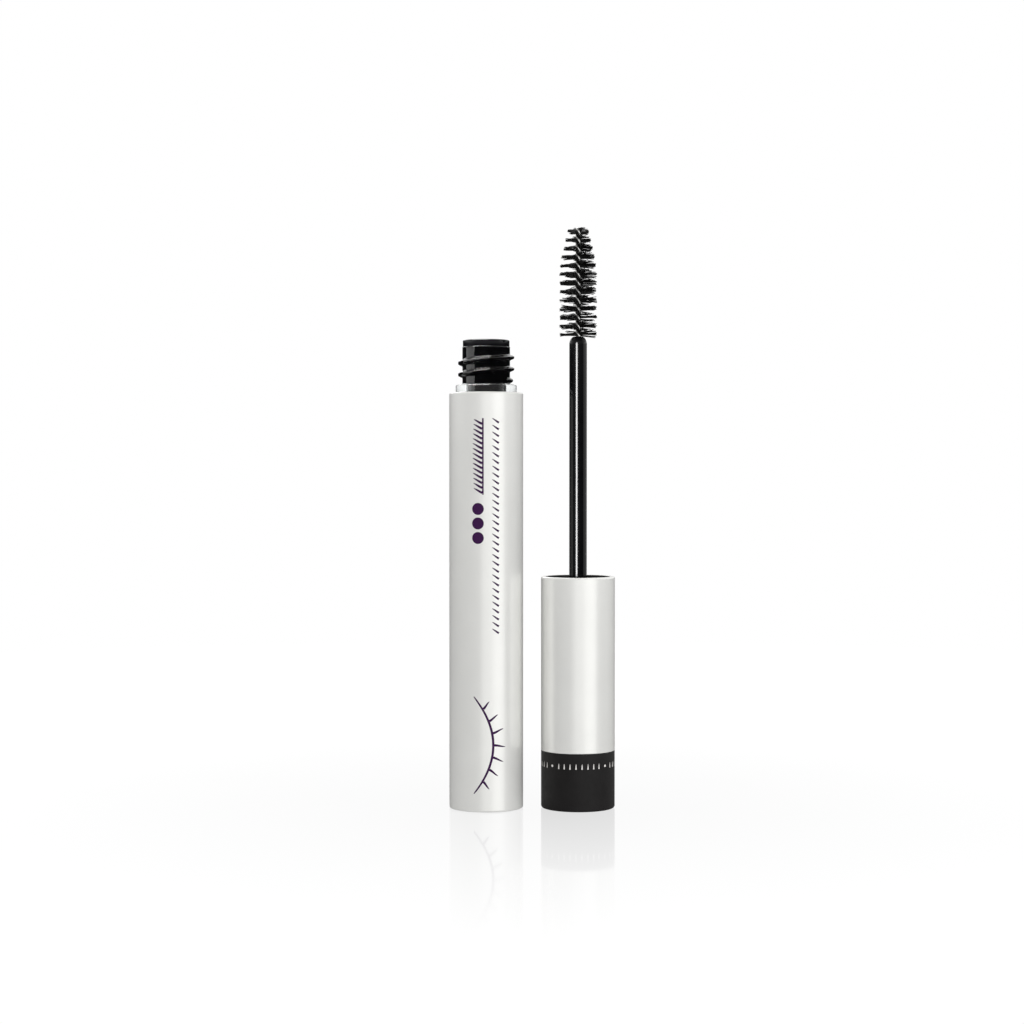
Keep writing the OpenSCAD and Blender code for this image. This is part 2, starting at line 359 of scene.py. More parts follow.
class Tree(NodeMaker):
    """A Geometry Nodes tree under construction."""

    def __init__(self, name):
        self.group = bpy.data.node_groups.new(name, "GeometryNodeTree")
        self.nodes, self.links = self.group.nodes, self.group.links
        self.inputs = {}
        self.socket("Geometry", "NodeSocketGeometry", "INPUT")
        self.socket("Geometry", "NodeSocketGeometry", "OUTPUT")
        self.start = self.nodes.new("NodeGroupInput")
        self.end = self.nodes.new("NodeGroupOutput")

    def socket(self, name, kind, way):
        made = self.group.interface.new_socket(name=name, in_out=way, socket_type=kind)
        if way == "INPUT":
            self.inputs[name] = made.identifier
        return made

    def size(self, name, kind="NodeSocketFloat"):
        """A named input, as a socket to link from."""
        self.socket(name, kind, "INPUT")
        return self.start.outputs[name]

    def math(self, operation, a, b=0.0):
        """The output of a math node."""
        node = self.nodes.new("ShaderNodeMath")
        node.operation = operation
        self.feed(node.inputs[0], a)
        self.feed(node.inputs[1], b)
        return node.outputs[0]

    def vector(self, x=0.0, y=0.0, z=0.0):
        """The output of a node that puts a vector together."""
        node = self.nodes.new("ShaderNodeCombineXYZ")
        for target, value in zip(node.inputs, (x, y, z)):
            self.feed(target, value)
        return node.outputs[0]

    def finish(self, geometry, material_input, smooth=True):
        """Realize Instances and Set Material, then the output."""
        real = self.add("GeometryNodeRealizeInstances", Geometry=geometry)
        smooth = self.add("GeometryNodeSetShadeSmooth", Geometry=real.outputs["Geometry"],
                          Shade_Smooth=smooth)
        finish = self.add("GeometryNodeSetMaterial", Geometry=smooth.outputs["Geometry"],
                          Material=material_input)
        self.links.new(finish.outputs["Geometry"], self.end.inputs["Geometry"])


def grown(name, tree, values, material, seed_mesh=None):
    """A piece made by a node tree, turned into a plain mesh."""
    carrier = bpy.data.objects.new(name + "_carrier", seed_mesh or bpy.data.meshes.new(name + "_seed"))
    bpy.context.scene.collection.objects.link(carrier)
    modifier = carrier.modifiers.new("Grow", "NODES")
    modifier.node_group = tree.group
    for key, value in {**values, "Material": material}.items():
        modifier[tree.inputs[key]] = value
    bpy.context.view_layer.update()
    result = bpy.data.meshes.new_from_object(carrier.evaluated_get(bpy.context.evaluated_depsgraph_get()))
    result.name = name
    bpy.data.objects.remove(carrier)
    return object_from(name, result, material)


def bristle_tree():
    """Straight filaments that cross the wire and wind up it, in bundles that lean a little apart."""
    tree = Tree("Twisted bristles")
    count = tree.size("Count", "NodeSocketInt")
    low, high = tree.size("Low"), tree.size("High")
    radius, tip_radius = tree.size("Radius"), tree.size("Tip radius")
    taper, first, row = tree.size("Taper length"), tree.size("First row"), tree.size("Row spacing")
    filament, spread = tree.size("Filament radius"), tree.size("Spread")
    centre = tree.size("Axis", "NodeSocketVector")
    seed = tree.size("Seed", "NodeSocketInt")
    material = tree.size("Material", "NodeSocketMaterial")

    index = tree.nodes.new("GeometryNodeInputIndex").outputs[0]
    last = tree.math("SUBTRACT", count, 1)
    z = tree.math("ADD", low, tree.math("MULTIPLY", tree.math("SUBTRACT", high, low),
                                        tree.math("DIVIDE", index, last)))
    bundle = tree.math("FLOOR", tree.math("DIVIDE", index, BUNDLE))

    def chance(low_value, high_value, key, salt):
        node = tree.add("FunctionNodeRandomValue", {"data_type": "FLOAT"})
        floats = [s for s in node.inputs if s.type == "VALUE"]
        floats[0].default_value, floats[1].default_value = low_value, high_value
        tree.feed(node.inputs["ID"], key)
        tree.feed(node.inputs["Seed"], tree.math("ADD", seed, salt))
        return next(s for s in node.outputs if s.type == "VALUE")

    turn = tree.math("MULTIPLY", tree.math("DIVIDE", tree.math("SUBTRACT", z, first), row), -math.pi)
    stray = tree.math("MULTIPLY", spread, tree.math("ADD", chance(-1, 1, bundle, 1),
                                                    chance(-0.45, 0.45, index, 2)))
    lean = tree.math("MULTIPLY", spread, tree.math("ADD", chance(-0.5, 0.5, bundle, 3),
                                                   chance(-0.45, 0.45, index, 4)))
    past = tree.math("DIVIDE", tree.math("SUBTRACT", z, tree.math("SUBTRACT", high, taper)), taper)
    past = tree.math("POWER", tree.math("MAXIMUM", past, 0.0), TAPER_POWER)
    reach = tree.math("SUBTRACT", radius, tree.math("MULTIPLY", past,
                                                    tree.math("SUBTRACT", radius, tip_radius)))
    reach = tree.math("MULTIPLY", reach, chance(0.955, 1.0, index, 5))

    points = tree.add("GeometryNodePoints", Count=count, Position=tree.vector(z=z))
    line = tree.add("GeometryNodeCurvePrimitiveLine", Start=(-1, 0, 0), End=(1, 0, 0))
    pieces = tree.add("GeometryNodeResampleCurve", Curve=line.outputs[0], Count=FILAMENT_RINGS)
    profile = tree.add("GeometryNodeCurvePrimitiveCircle", Resolution=FILAMENT_SIDES, Radius=filament)
    thread = tree.add("GeometryNodeCurveToMesh", Curve=pieces.outputs[0],
                      Profile_Curve=profile.outputs[0], Fill_Caps=True)
    turned_to = tree.add("FunctionNodeEulerToRotation",
                         Euler=tree.vector(y=lean, z=tree.math("ADD", turn, stray)))
    placed = tree.add("GeometryNodeInstanceOnPoints", Points=points.outputs[0],
                      Instance=thread.outputs[0], Rotation=turned_to.outputs[0],
                      Scale=tree.vector(reach, 1.0, 1.0))
    real = tree.add("GeometryNodeRealizeInstances", Geometry=placed.outputs[0])

    position = tree.nodes.new("GeometryNodeInputPosition").outputs[0]
    split = tree.add("ShaderNodeSeparateXYZ", Vector=position)
    out = tree.math("POWER", tree.math("DIVIDE", tree.add(
        "ShaderNodeVectorMath", {"operation": "LENGTH"},
        Vector=tree.vector(split.outputs["X"], split.outputs["Y"])).outputs["Value"], radius), 2.0)
    drift = tree.add("ShaderNodeTexNoise", {"noise_dimensions": "3D"}, Vector=position,
                     Scale=DRIFT_SCALE, Detail=1.0)
    pull = tree.add("ShaderNodeVectorMath", {"operation": "SUBTRACT"})
    tree.links.new(drift.outputs["Color"], pull.inputs[0])
    pull.inputs[1].default_value = (0.5, 0.5, 0.5)
    pulled = tree.add("ShaderNodeVectorMath", {"operation": "SCALE"}, Vector=pull.outputs[0],
                      Scale=tree.math("MULTIPLY", out, DRIFT))
    moved = tree.add("ShaderNodeVectorMath", {"operation": "ADD"})
    tree.links.new(pulled.outputs[0], moved.inputs[0])
    tree.links.new(centre, moved.inputs[1])
    shifted = tree.add("GeometryNodeSetPosition", Geometry=real.outputs[0], Offset=moved.outputs[0])
    tree.finish(shifted.outputs["Geometry"], material)
    return tree


def wire_tree():
    """A round wire along a path."""
    tree = Tree("Wire on a path")
    radius = tree.size("Wire radius")
    sides = tree.size("Sides", "NodeSocketInt")
    material = tree.size("Material", "NodeSocketMaterial")
    path = tree.add("GeometryNodeMeshToCurve", Mesh=tree.start.outputs["Geometry"])
    profile = tree.add("GeometryNodeCurvePrimitiveCircle", Resolution=sides, Radius=radius)
    wire = tree.add("GeometryNodeCurveToMesh", Curve=path.outputs[0],
                    Profile_Curve=profile.outputs[0], Fill_Caps=True)
    tree.finish(wire.outputs[0], material)
    return tree


def path_mesh(name, points):
    """A mesh of edges along a list of points."""
    mesh = bpy.data.meshes.new(name)
    mesh.from_pydata([tuple(p) for p in points], [(i, i + 1) for i in range(len(points) - 1)], [])
    return mesh


def ribbon(points, half_widths, across=2):
    """Rows of (u, v) points across a flat stroke that follows a centre line."""
    rows = []
    for i, (u, v) in enumerate(points):
        (u0, v0), (u1, v1) = points[max(i - 1, 0)], points[min(i + 1, len(points) - 1)]
        run = math.hypot(u1 - u0, v1 - v0)
        side = (-(v1 - v0) / run * half_widths[i], (u1 - u0) / run * half_widths[i])
        steps = [2 * j / across - 1 for j in range(across + 1)]
        rows.append([(u + side[0] * t, v + side[1] * t) for t in steps])
    return rows


def dot(u, v, radius, across=8):
    """A round mark."""
    turns = [math.pi * i / 14 for i in range(15)]
    return ribbon([(u, v - radius * math.cos(a)) for a in turns],
                  [radius * math.sin(a) for a in turns], across)


def lash(start, angle, reach, width, bow=0.12):
    """A tapered stroke that leaves a point at an angle and bows a little, as an eyelash does."""
    out = Vector((math.cos(angle), math.sin(angle)))
    across = Vector((-out.y, out.x))
    steps = 7
    points = [Vector(start) + reach * (t * out + bow * math.sin(math.pi * t / 2) ** 2 * across)
              for t in (i / steps for i in range(steps + 1))]
    return ribbon([tuple(p) for p in points],
                  [width / 2 * math.sqrt(1 - 0.97 * i / steps) for i in range(steps + 1)])


def flat_marks(name, marks):
    """A flat mesh of marks, drawn with u to the right and v up, a little below the wall's surface."""
    mesh = bpy.data.meshes.new(name)
    bm = bmesh.new()
    for rows in marks:
        grid = [[bm.verts.new((u, v, -PRINT_SINK)) for u, v in row] for row in rows]
        for low, high in zip(grid, grid[1:]):
            for j in range(len(low) - 1):
                bm.faces.new((low[j], high[j], high[j + 1], low[j + 1]))
    bmesh.ops.remove_doubles(bm, verts=bm.verts, dist=1e-7)
    bm.to_mesh(mesh)
    bm.free()
    return mesh


def print_tree():
    """Repeats flat marks, gives them the thickness of ink and wraps them round a wall."""
    tree = Tree("Print on a round wall")
    count = tree.size("Count", "NodeSocketInt")
    step = tree.size("Step", "NodeSocketVector")
    wall, film = tree.size("Wall radius"), tree.size("Film")
    centre = tree.size("Axis", "NodeSocketVector")
    material = tree.size("Material", "NodeSocketMaterial")
    marks = tree.start.outputs["Geometry"]

    index = tree.nodes.new("GeometryNodeInputIndex").outputs[0]
    place_at = tree.add("ShaderNodeVectorMath", {"operation": "SCALE"}, Vector=step, Scale=index)
    points = tree.add("GeometryNodePoints", Count=count, Position=place_at.outputs[0])
    body = tree.add("GeometryNodeExtrudeMesh", {"mode": "FACES"}, Mesh=marks,
                    Offset_Scale=tree.math("ADD", film, PRINT_SINK), Individual=False)
    under = tree.add("GeometryNodeFlipFaces", Mesh=marks)
    joined = tree.nodes.new("GeometryNodeJoinGeometry")
    tree.links.new(under.outputs[0], joined.inputs[0])
    tree.links.new(body.outputs["Mesh"], joined.inputs[0])
    closed = tree.add("GeometryNodeMergeByDistance", Geometry=joined.outputs[0], Distance=1e-7)
    repeated = tree.add("GeometryNodeInstanceOnPoints", Points=points.outputs[0], Instance=closed.outputs[0])
    real = tree.add("GeometryNodeRealizeInstances", Geometry=repeated.outputs[0])

    flat = tree.add("ShaderNodeSeparateXYZ",
                    Vector=tree.nodes.new("GeometryNodeInputPosition").outputs[0])
    angle = tree.math("DIVIDE", flat.outputs["X"], wall)
    reach = tree.math("ADD", flat.outputs["Z"], wall)
    wrapped = tree.add("ShaderNodeVectorMath", {"operation": "ADD"})
    tree.feed(wrapped.inputs[0], tree.vector(
        tree.math("MULTIPLY", reach, tree.math("SINE", angle)),
        tree.math("MULTIPLY", tree.math("MULTIPLY", reach, -1.0), tree.math("COSINE", angle)),
        flat.outputs["Y"]))
    tree.feed(wrapped.inputs[1], centre)
    shifted = tree.add("GeometryNodeSetPosition", Geometry=real.outputs[0], Position=wrapped.outputs[0])
    tree.finish(shifted.outputs["Geometry"], material, smooth=False)
    return tree


# ---------------------------------------------------------------- materials


class Finish(NodeMaker):
    """A material under construction, with one Principled shader."""

    def __init__(self, name, **sockets):
        self.material = bpy.data.materials.new(name)
        self.material.use_nodes = True
        self.nodes = self.material.node_tree.nodes
        self.links = self.material.node_tree.links
        self.shader = self.nodes["Principled BSDF"]
        for key, value in sockets.items():
            self.shader.inputs[key.replace("_", " ")].default_value = value
        self.place = self.nodes.new("ShaderNodeTexCoord").outputs["Object"]

    def noise(self, scale, detail=2.0, stretch=(1, 1, 1)):
        """A noise pattern in the object's own coordinates; scale is in cells per metre."""
        mapped = self.add("ShaderNodeMapping", Vector=self.place, Scale=stretch)
        return self.add("ShaderNodeTexNoise", Vector=mapped.outputs[0], Scale=scale,
                        Detail=detail).outputs["Fac"]

    def cells(self, scale):
        """Random small cells; the colour output differs from cell to cell."""
        return self.add("ShaderNodeTexVoronoi", Vector=self.place, Scale=scale)

    def between(self, value, low, high, from_low=0.3, from_high=0.7):
        """A value mapped to a range."""
        return self.add("ShaderNodeMapRange", Value=value, From_Min=from_low, From_Max=from_high,
                        To_Min=low, To_Max=high).outputs[0]

    def shades(self, value, dark, light):
        """A colour between two, by a value."""
        ramp = self.add("ShaderNodeValToRGB", Fac=value)
        ramp.color_ramp.elements[0].position = 0.3
        ramp.color_ramp.elements[1].position = 0.7
        ramp.color_ramp.elements[0].color = (*dark, 1)
        ramp.color_ramp.elements[1].color = (*light, 1)
        return ramp.outputs["Color"]

    def use(self, name, value):
        self.links.new(value, self.shader.inputs[name])

    def bump(self, *layers):
        """Bumps on top of each other, each as (height, strength, distance in metres)."""
        last = None
        for height, strength, distance in layers:
            node = self.add("ShaderNodeBump", Strength=strength, Distance=distance, Height=height)
            if last:
                self.links.new(last, node.inputs["Normal"])
            last = node.outputs["Normal"]
        self.use("Normal", last)


def tint(colour_value, factor):
    """A colour made lighter or darker."""
    return tuple(min(1.0, c * factor) for c in colour_value)


def pearl_lacquer(finish):
    """White lacquer with fine pearl flakes under a clear coat."""
    m = Finish("Pearl lacquer", Metallic=0.3, Coat_Weight=0.2, Coat_Roughness=0.2)
    flakes = m.cells(9000)
    cloud = m.noise(160, 3)
    m.use("Base Color", m.shades(cloud, tint(finish.pearl, 0.985), tint(finish.pearl, 1.015)))
    m.use("Roughness", m.between(flakes.outputs["Distance"], 0.26, 0.34, 0.0, 0.8))
    m.bump((flakes.outputs["Distance"], 0.05, 0.02 * MM), (m.noise(900, 2), 0.05, 0.05 * MM))
    return m.material


def moulded_white(finish):
    """Bare white moulded plastic."""
    m = Finish("Moulded white")
    m.use("Base Color", m.shades(m.noise(300), tint(finish.pearl, 0.93), tint(finish.pearl, 0.97)))
    m.use("Roughness", m.between(m.noise(2500), 0.38, 0.5))
    m.bump((m.noise(4000, 3), 0.12, 0.02 * MM))
    return m.material


def clear_plastic():
    """Polished clear plastic."""
    m = Finish("Clear plastic", Base_Color=(0.96, 0.98, 0.98, 1), IOR=1.57, Transmission_Weight=1.0)
    m.use("Roughness", m.between(m.noise(700, 3), 0.0, 0.03))
    m.bump((m.noise(500, 2), 0.06, 0.03 * MM))
    return m.material


def wiper_black():
    """Soft black plastic, dull where it lies against the clear neck and wet with mascara above it."""
    m = Finish("Wiper black", Specular_IOR_Level=0.0, Coat_Roughness=0.06)
    smear = m.noise(420, 4, (1, 1, 1.8))
    height = m.add("ShaderNodeSeparateXYZ", Vector=m.place).outputs["Z"]
    m.use("Base Color", m.shades(smear, (0.0015, 0.0015, 0.002), (0.003, 0.003, 0.0035)))
    m.use("Roughness", m.between(smear, 0.4, 0.6))
    m.use("Coat Weight", m.between(height, 0.0, 1.0, NECK_TOP, NECK_TOP + 0.1 * MM))
    m.bump((smear, 0.25, 0.06 * MM), (m.noise(2600, 2), 0.1, 0.02 * MM))
    return m.material


def wet_mascara():
    """Mascara cream."""
    m = Finish("Wet mascara", Coat_Weight=0.8, Coat_Roughness=0.06)
    smear = m.noise(420, 4, (1, 1, 1.8))
    m.use("Base Color", m.shades(smear, (0.004, 0.004, 0.005), (0.011, 0.011, 0.013)))
    m.use("Roughness", m.between(smear, 0.22, 0.45))
    m.bump((smear, 0.5, 0.12 * MM), (m.noise(2600, 2), 0.15, 0.03 * MM))
    return m.material


def satin_black():
    """Black moulded plastic inside the cap."""
    m = Finish("Satin black")
    m.use("Base Color", m.shades(m.noise(500), (0.009, 0.009, 0.009), (0.014, 0.014, 0.014)))
    m.use("Roughness", m.between(m.noise(3000), 0.34, 0.46))
    m.bump((m.noise(5000, 3), 0.1, 0.02 * MM))
    return m.material


def soft_touch(finish):
    """Soft-touch matte coating with a fine grain."""
    m = Finish("Soft touch", Specular_IOR_Level=0.22, Sheen_Weight=0.05, Sheen_Roughness=0.5)
    m.use("Base Color", m.shades(m.noise(380, 4), tint(finish.band, 0.88), tint(finish.band, 1.12)))
    m.use("Roughness", m.between(m.noise(900, 3), 0.50, 0.62))
    m.bump((m.noise(9000, 2), 0.22, 0.02 * MM))
    return m.material


def gloss_black():
    """Polished black plastic of the rod."""
    m = Finish("Gloss black", Specular_IOR_Level=0.32)
    m.use("Base Color", m.shades(m.noise(300), (0.0008, 0.0008, 0.001), (0.0016, 0.0016, 0.0019)))
    m.use("Roughness", m.between(m.noise(300, 2, (1, 1, 0.1)), 0.14, 0.17))
    m.bump((m.noise(90, 1, (1, 1, 0.15)), 0.02, 0.05 * MM))
    return m.material


def rubber():
    """Rubber of the seal ring."""
    m = Finish("Seal rubber", Specular_IOR_Level=0.4)
    m.use("Base Color", m.shades(m.noise(800), (0.02, 0.02, 0.02), (0.032, 0.032, 0.032)))
    m.use("Roughness", m.between(m.noise(3000), 0.5, 0.65))
    m.bump((m.noise(6000, 2), 0.2, 0.02 * MM))
    return m.material


def steel_wire(finish):
    """Drawn stainless wire, with mascara left in its grooves."""
    m = Finish("Steel wire", Metallic=1.0)
    m.use("Base Color", m.shades(m.noise(1300, 3), tint(finish.wire, 0.88), finish.wire))
    m.use("Roughness", m.between(m.noise(6000, 2, (1, 1, 0.2)), 0.18, 0.30))
    m.bump((m.noise(9000, 2, (1, 1, 0.1)), 0.1, 0.01 * MM))
    return m.material


def nylon():
    """Black nylon filament."""
    m = Finish("Black nylon", Specular_IOR_Level=0.35)
    m.use("Base Color", m.shades(m.noise(2500), (0.002, 0.002, 0.002), (0.006, 0.0055, 0.005)))
    m.use("Roughness", m.between(m.noise(4000), 0.34, 0.5))
    m.bump((m.noise(12000, 2), 0.15, 0.01 * MM))
    return m.material


def printed_ink(name, ink):
    """Screen-printed ink with a slightly uneven film."""
    m = Finish(name, Specular_IOR_Level=0.15)
    m.use("Base Color", m.shades(m.noise(1800, 3), tint(ink, 0.9), tint(ink, 1.1)))
    m.use("Roughness", m.between(m.noise(3000), 0.36, 0.48))
    m.bump((m.noise(8000, 2), 0.15, 0.01 * MM))
    return m.material


def floor_finish(mirror, middle):
    """White tabletop, lit from below, whose gloss fades away from the object."""
    m = Finish("White tabletop", Roughness=0.12, Base_Color=(1, 1, 1, 1))
    glow = m.add("ShaderNodeEmission", Strength=1.02)
    gloss = m.add("ShaderNodeBsdfAnisotropic", Roughness=m.between(m.noise(40, 2), 0.05, 0.08))
    near = m.add("ShaderNodeMapping", Vector=m.place, Location=(-middle, 0, 0))
    away = m.add("ShaderNodeVectorMath", {"operation": "LENGTH"}, Vector=near.outputs[0])
    share = m.between(away.outputs["Value"], mirror, 0.0, 0.0, GLOSS_R)
    blend = m.add("ShaderNodeMixShader", Fac=share)
    m.links.new(glow.outputs[0], blend.inputs[1])
    m.links.new(gloss.outputs[0], blend.inputs[2])
    m.links.new(blend.outputs[0], m.nodes["Material Output"].inputs["Surface"])
    m.nodes.remove(m.shader)
    return m.material


# ---------------------------------------------------------------- pieces of the tube


def rounded_sleeve(name, low, high, inner, foot, edge, axis, material):
    """A sleeve with a small edge at its foot and a rounded one at its top."""
    outline = (
        [(inner, low)]
        + arc((BODY_R - foot, low + foot), foot, -90, 0)
        + arc((BODY_R - edge, high - edge), edge, 0, 90)
        + arc((inner + 0.12 * MM, high - 0.12 * MM), 0.12 * MM, 90, 180, 3)
    )
    return turned(name, outline, axis, material)


class MASCARA_OT_sleeves(bpy.types.Operator):
    """Build the pearl-white outer sleeves of the tube and of the cap"""

    bl_idname = "mascara.sleeves"
    bl_label = "Sleeves"

    def execute(self, context):
        settings = context.scene.mascara
        material = pearl_lacquer(settings.finish)
        edge = settings.sizes.edge
        tube_inner = PLUG_R + SLEEVE_GAP
        tube = rounded_sleeve("tube_shell", SLEEVE_LOW.z, TUBE_TOP, tube_inner, edge, edge,
                              TUBE_AXIS, material)
        place(tube, "tube", "tube_sleeve")
        cap_inner = LINER_R + SLEEVE_GAP
        cap = rounded_sleeve("cap_shell", CAP_LOW.z, CAP_TOP, cap_inner, 0.15 * MM, edge,
                             WAND_AXIS, material)
        place(cap, "wand", "cap_sleeve")
        return {"FINISHED"}


class MASCARA_OT_base_plug(bpy.types.Operator):
    """Build the disc that closes the tube's base, with its moulded rings"""

    bl_idname = "mascara.base_plug"
    bl_label = "Base plug"

    def execute(self, context):
        r = PLUG_R
        low, high = PLUG_LOW.z, PLUG_HIGH.z
        groove_in, groove_out, depth = 4.2 * MM, 4.9 * MM, 0.25 * MM
        soft = 0.12 * MM
        outline = (
            [(0, low)]
            + arc((groove_in - soft, low + soft), soft, -90, 0, 4)
            + [(groove_in, low + depth), (groove_out, low + depth)]
            + arc((groove_out + soft, low + soft), soft, 180, 270, 4)
            + arc((r - soft, low + soft), soft, -90, 0, 4)
            + [(r, high), (0, high)]
        )
        piece = turned("tube_base", outline, TUBE_AXIS, moulded_white(context.scene.mascara.finish))
        place(piece, "tube", "base_plug")
        return {"FINISHED"}


class MASCARA_OT_bottle(bpy.types.Operator):
    """Build the clear bottle with its shoulder and threaded neck"""

    bl_idname = "mascara.bottle"
    bl_label = "Bottle"

    def execute(self, context):
        sizes = context.scene.mascara.sizes
        root = sizes.neck / 2
        bore = root - sizes.neck_wall
        inner = SHOULDER_R - sizes.bottle_wall
        shoulder_top = TUBE_TOP + sizes.shoulder
        heel, toe, floor = 1.2 * MM, 0.8 * MM, BOTTLE_LOW.z + 1.2 * MM
        ring_edge, rim_edge = 0.35 * MM, 0.15 * MM
        low = TUBE_TOP + sizes.thread_start
        ridge = thread_ridge(sizes, root, sizes.thread / 2, low, THREAD_FROM, NECK_TURNS,
                             RIDGE_ROOT, RIDGE_CREST)
        outline = (
            [(0, BOTTLE_LOW.z)]
            + arc((SHOULDER_R - heel, BOTTLE_LOW.z + heel), heel, -90, 0)
            + arc((SHOULDER_R - ring_edge, shoulder_top - ring_edge), ring_edge, 0, 90)
            + [(root + 0.2 * MM, shoulder_top)]
            + arc((root + 0.2 * MM, shoulder_top + 0.2 * MM), 0.2 * MM, 270, 180, 4)[1:]
            + fine_steps(root, shoulder_top + 0.25 * MM, NECK_TOP - 0.3 * MM, 0.06 * MM)
            + arc((root - rim_edge, NECK_TOP - rim_edge), rim_edge, 0, 90, 4)
            + [(bore, NECK_TOP), (bore, TUBE_TOP - 0.1 * MM), (inner, TUBE_TOP - 1.4 * MM)]
            + arc((inner - toe, floor + toe), toe, 0, -90)
            + [(0, floor)]
        )
        piece = turned("bottle_shell", outline, TUBE_AXIS, clear_plastic(), ridge)
        place(piece, "tube", "bottle")
        return {"FINISHED"}


class MASCARA_OT_wiper(bpy.types.Operator):
    """Build the wiper in the neck, with its flange and its lip"""

    bl_idname = "mascara.wiper"
    bl_label = "Wiper"

    def execute(self, context):
        sizes = context.scene.mascara.sizes
        flange = radius_of(WIPER_LOW, WIPER_HIGH)
        top, seat = WIPER_HIGH.z, NECK_TOP + 0.01 * MM
        shoulder_top = TUBE_TOP + sizes.shoulder
        stem = sizes.neck / 2 - sizes.neck_wall + WET_LAP
        loose = stem - 2 * WET_LAP
        bore = 3.5 * MM
        lip = sizes.rod / 2 + 0.05 * MM
        lip_wall, lip_length = 0.6 * MM, 1.5 * MM
        soft = 0.22 * MM
        outline = (
            [(flange, seat)]
            + arc((flange - soft, top - soft), soft, 0, 90)
            + arc((bore + 0.5 * MM, top - 0.5 * MM), 0.5 * MM, 90, 180)
            + [(bore, TUBE_TOP + 4 * MM)]
            + [(lip, WIPER_LOW.z + lip_length)]
            + arc((lip + lip_wall / 2, WIPER_LOW.z + lip_wall / 2), lip_wall / 2, 180, 360, 8)
            + [(loose, TUBE_TOP - 0.5 * MM), (loose, shoulder_top),
               (stem, shoulder_top + 0.1 * MM), (stem, seat)]
        )
        piece = turned("wiper_insert", outline, TUBE_AXIS, wiper_black())
        place(piece, "tube", "wiper")
        return {"FINISHED"}


class MASCARA_OT_mascara(bpy.types.Operator):
    """Build the mascara in the bottle, with the well that the brush leaves"""

    bl_idname = "mascara.mascara"
    bl_label = "Mascara"

    def execute(self, context):
        r = radius_of(PASTE_LOW, PASTE_HIGH)
        well, well_low = 4.4 * MM, 9.0 * MM
        heel = 0.8 * MM
        top = PASTE_HIGH.z
        outline = (
            [(0, PASTE_LOW.z)]
            + arc((r - heel, PASTE_LOW.z + heel), heel, -90, 0)
            + [(r, top - 1.5 * MM)]
            + arc((well + 0.4 * MM, top - 0.6 * MM), 0.5 * MM, 60, 180)
            + fine_steps(well, top - 2 * MM, well_low + well, 4 * MM)
            + arc((0, well_low + well), well, 0, -90, 10)[1:-1]
            + [(0, well_low)]
        )

        def smeared(angle, radius, z):
            """Uneven inner wall where the brush has dragged."""
            if radius < well - 1e-7 or radius > well + 1e-7:
                return radius
            return radius + 0.25 * MM * (0.5 + 0.5 * math.sin(3 * angle + z / (2.1 * MM)))

        piece = turned("mascara_cream", outline, TUBE_AXIS, wet_mascara(), smeared, 64)
        place(piece, "tube", "mascara_paste")
        return {"FINISHED"}


# ---------------------------------------------------------------- pieces of the wand


class MASCARA_OT_end_band(bpy.types.Operator):
    """Build the dark soft-touch band that closes the cap's end"""

    bl_idname = "mascara.end_band"
    bl_label = "End band"

    def execute(self, context):
        heel, rim = 0.5 * MM, 0.15 * MM
        top = BAND_TOP - 0.02 * MM
        spigot = LINER_R
        inner = spigot - 0.75 * MM
        hollow = BODY_R - 1.2 * MM
        outline = (
            [(0, BAND_LOW.z)]
            + arc((BODY_R - heel, BAND_LOW.z + heel), heel, -90, 0)
            + arc((BODY_R - rim, top - rim), rim, 0, 90, 4)
            + [(spigot, top), (spigot, BAND_HIGH.z - 0.3 * MM), (spigot - 0.3 * MM, BAND_HIGH.z),
               (inner, BAND_HIGH.z), (inner, top - 1.5 * MM), (hollow, top - 2.5 * MM),
               (hollow, BAND_LOW.z + 1.6 * MM), (0, BAND_LOW.z + 1.6 * MM)]
        )
        piece = turned("cap_end_band", outline, WAND_AXIS, soft_touch(context.scene.mascara.finish))
        place(piece, "wand", "end_band")
        return {"FINISHED"}


class MASCARA_OT_liner(bpy.types.Operator):
    """Build the black inner cap, with its thread and the socket that holds the rod"""

    bl_idname = "mascara.liner"
    bl_label = "Inner cap"

    def execute(self, context):
        sizes = context.scene.mascara.sizes
        outer = LINER_R
        skirt = outer - 0.65 * MM
        thread_bore = sizes.thread / 2 + sizes.thread_gap
        mouth = SHOULDER_R + 0.1 * MM
        mouth_floor = CAP_TOP - 2.1 * MM
        web_top, web_low = SEAL_LOW.z - 0.02 * MM, SEAL_LOW.z - 2.02 * MM
        bore = sizes.rod / 2 + 0.03 * MM
        socket = bore + 1.5 * MM
        foot = ROD_LOW.z - 0.1 * MM
        low = CAP_TOP - 2.6 * MM - (2 + 1 / 12) * sizes.pitch
        ridge = thread_ridge(sizes, thread_bore, sizes.neck / 2 + sizes.thread_gap, low,
                             THREAD_FROM, LINER_TURNS, RIDGE_ROOT, RIDGE_CREST)
        outline = (
            [(0, foot - 1 * MM), (socket, foot - 1 * MM), (socket, web_low), (skirt, web_low),
             (skirt, LINER_LOW.z), (outer, LINER_LOW.z), (outer, CAP_TOP - 0.15 * MM),
             (outer - 0.08 * MM, CAP_TOP - 0.02 * MM), (mouth, CAP_TOP - 0.02 * MM),
             (mouth, mouth_floor), (thread_bore + 0.1 * MM, mouth_floor)]
            + fine_steps(thread_bore, mouth_floor - 0.1 * MM, web_top, 0.1 * MM)
            + [(bore, web_top), (bore, foot), (0, foot)]
        )
        piece = turned("inner_cap", outline, WAND_AXIS, satin_black(), ridge)
        place(piece, "wand", "cap_liner")
        return {"FINISHED"}


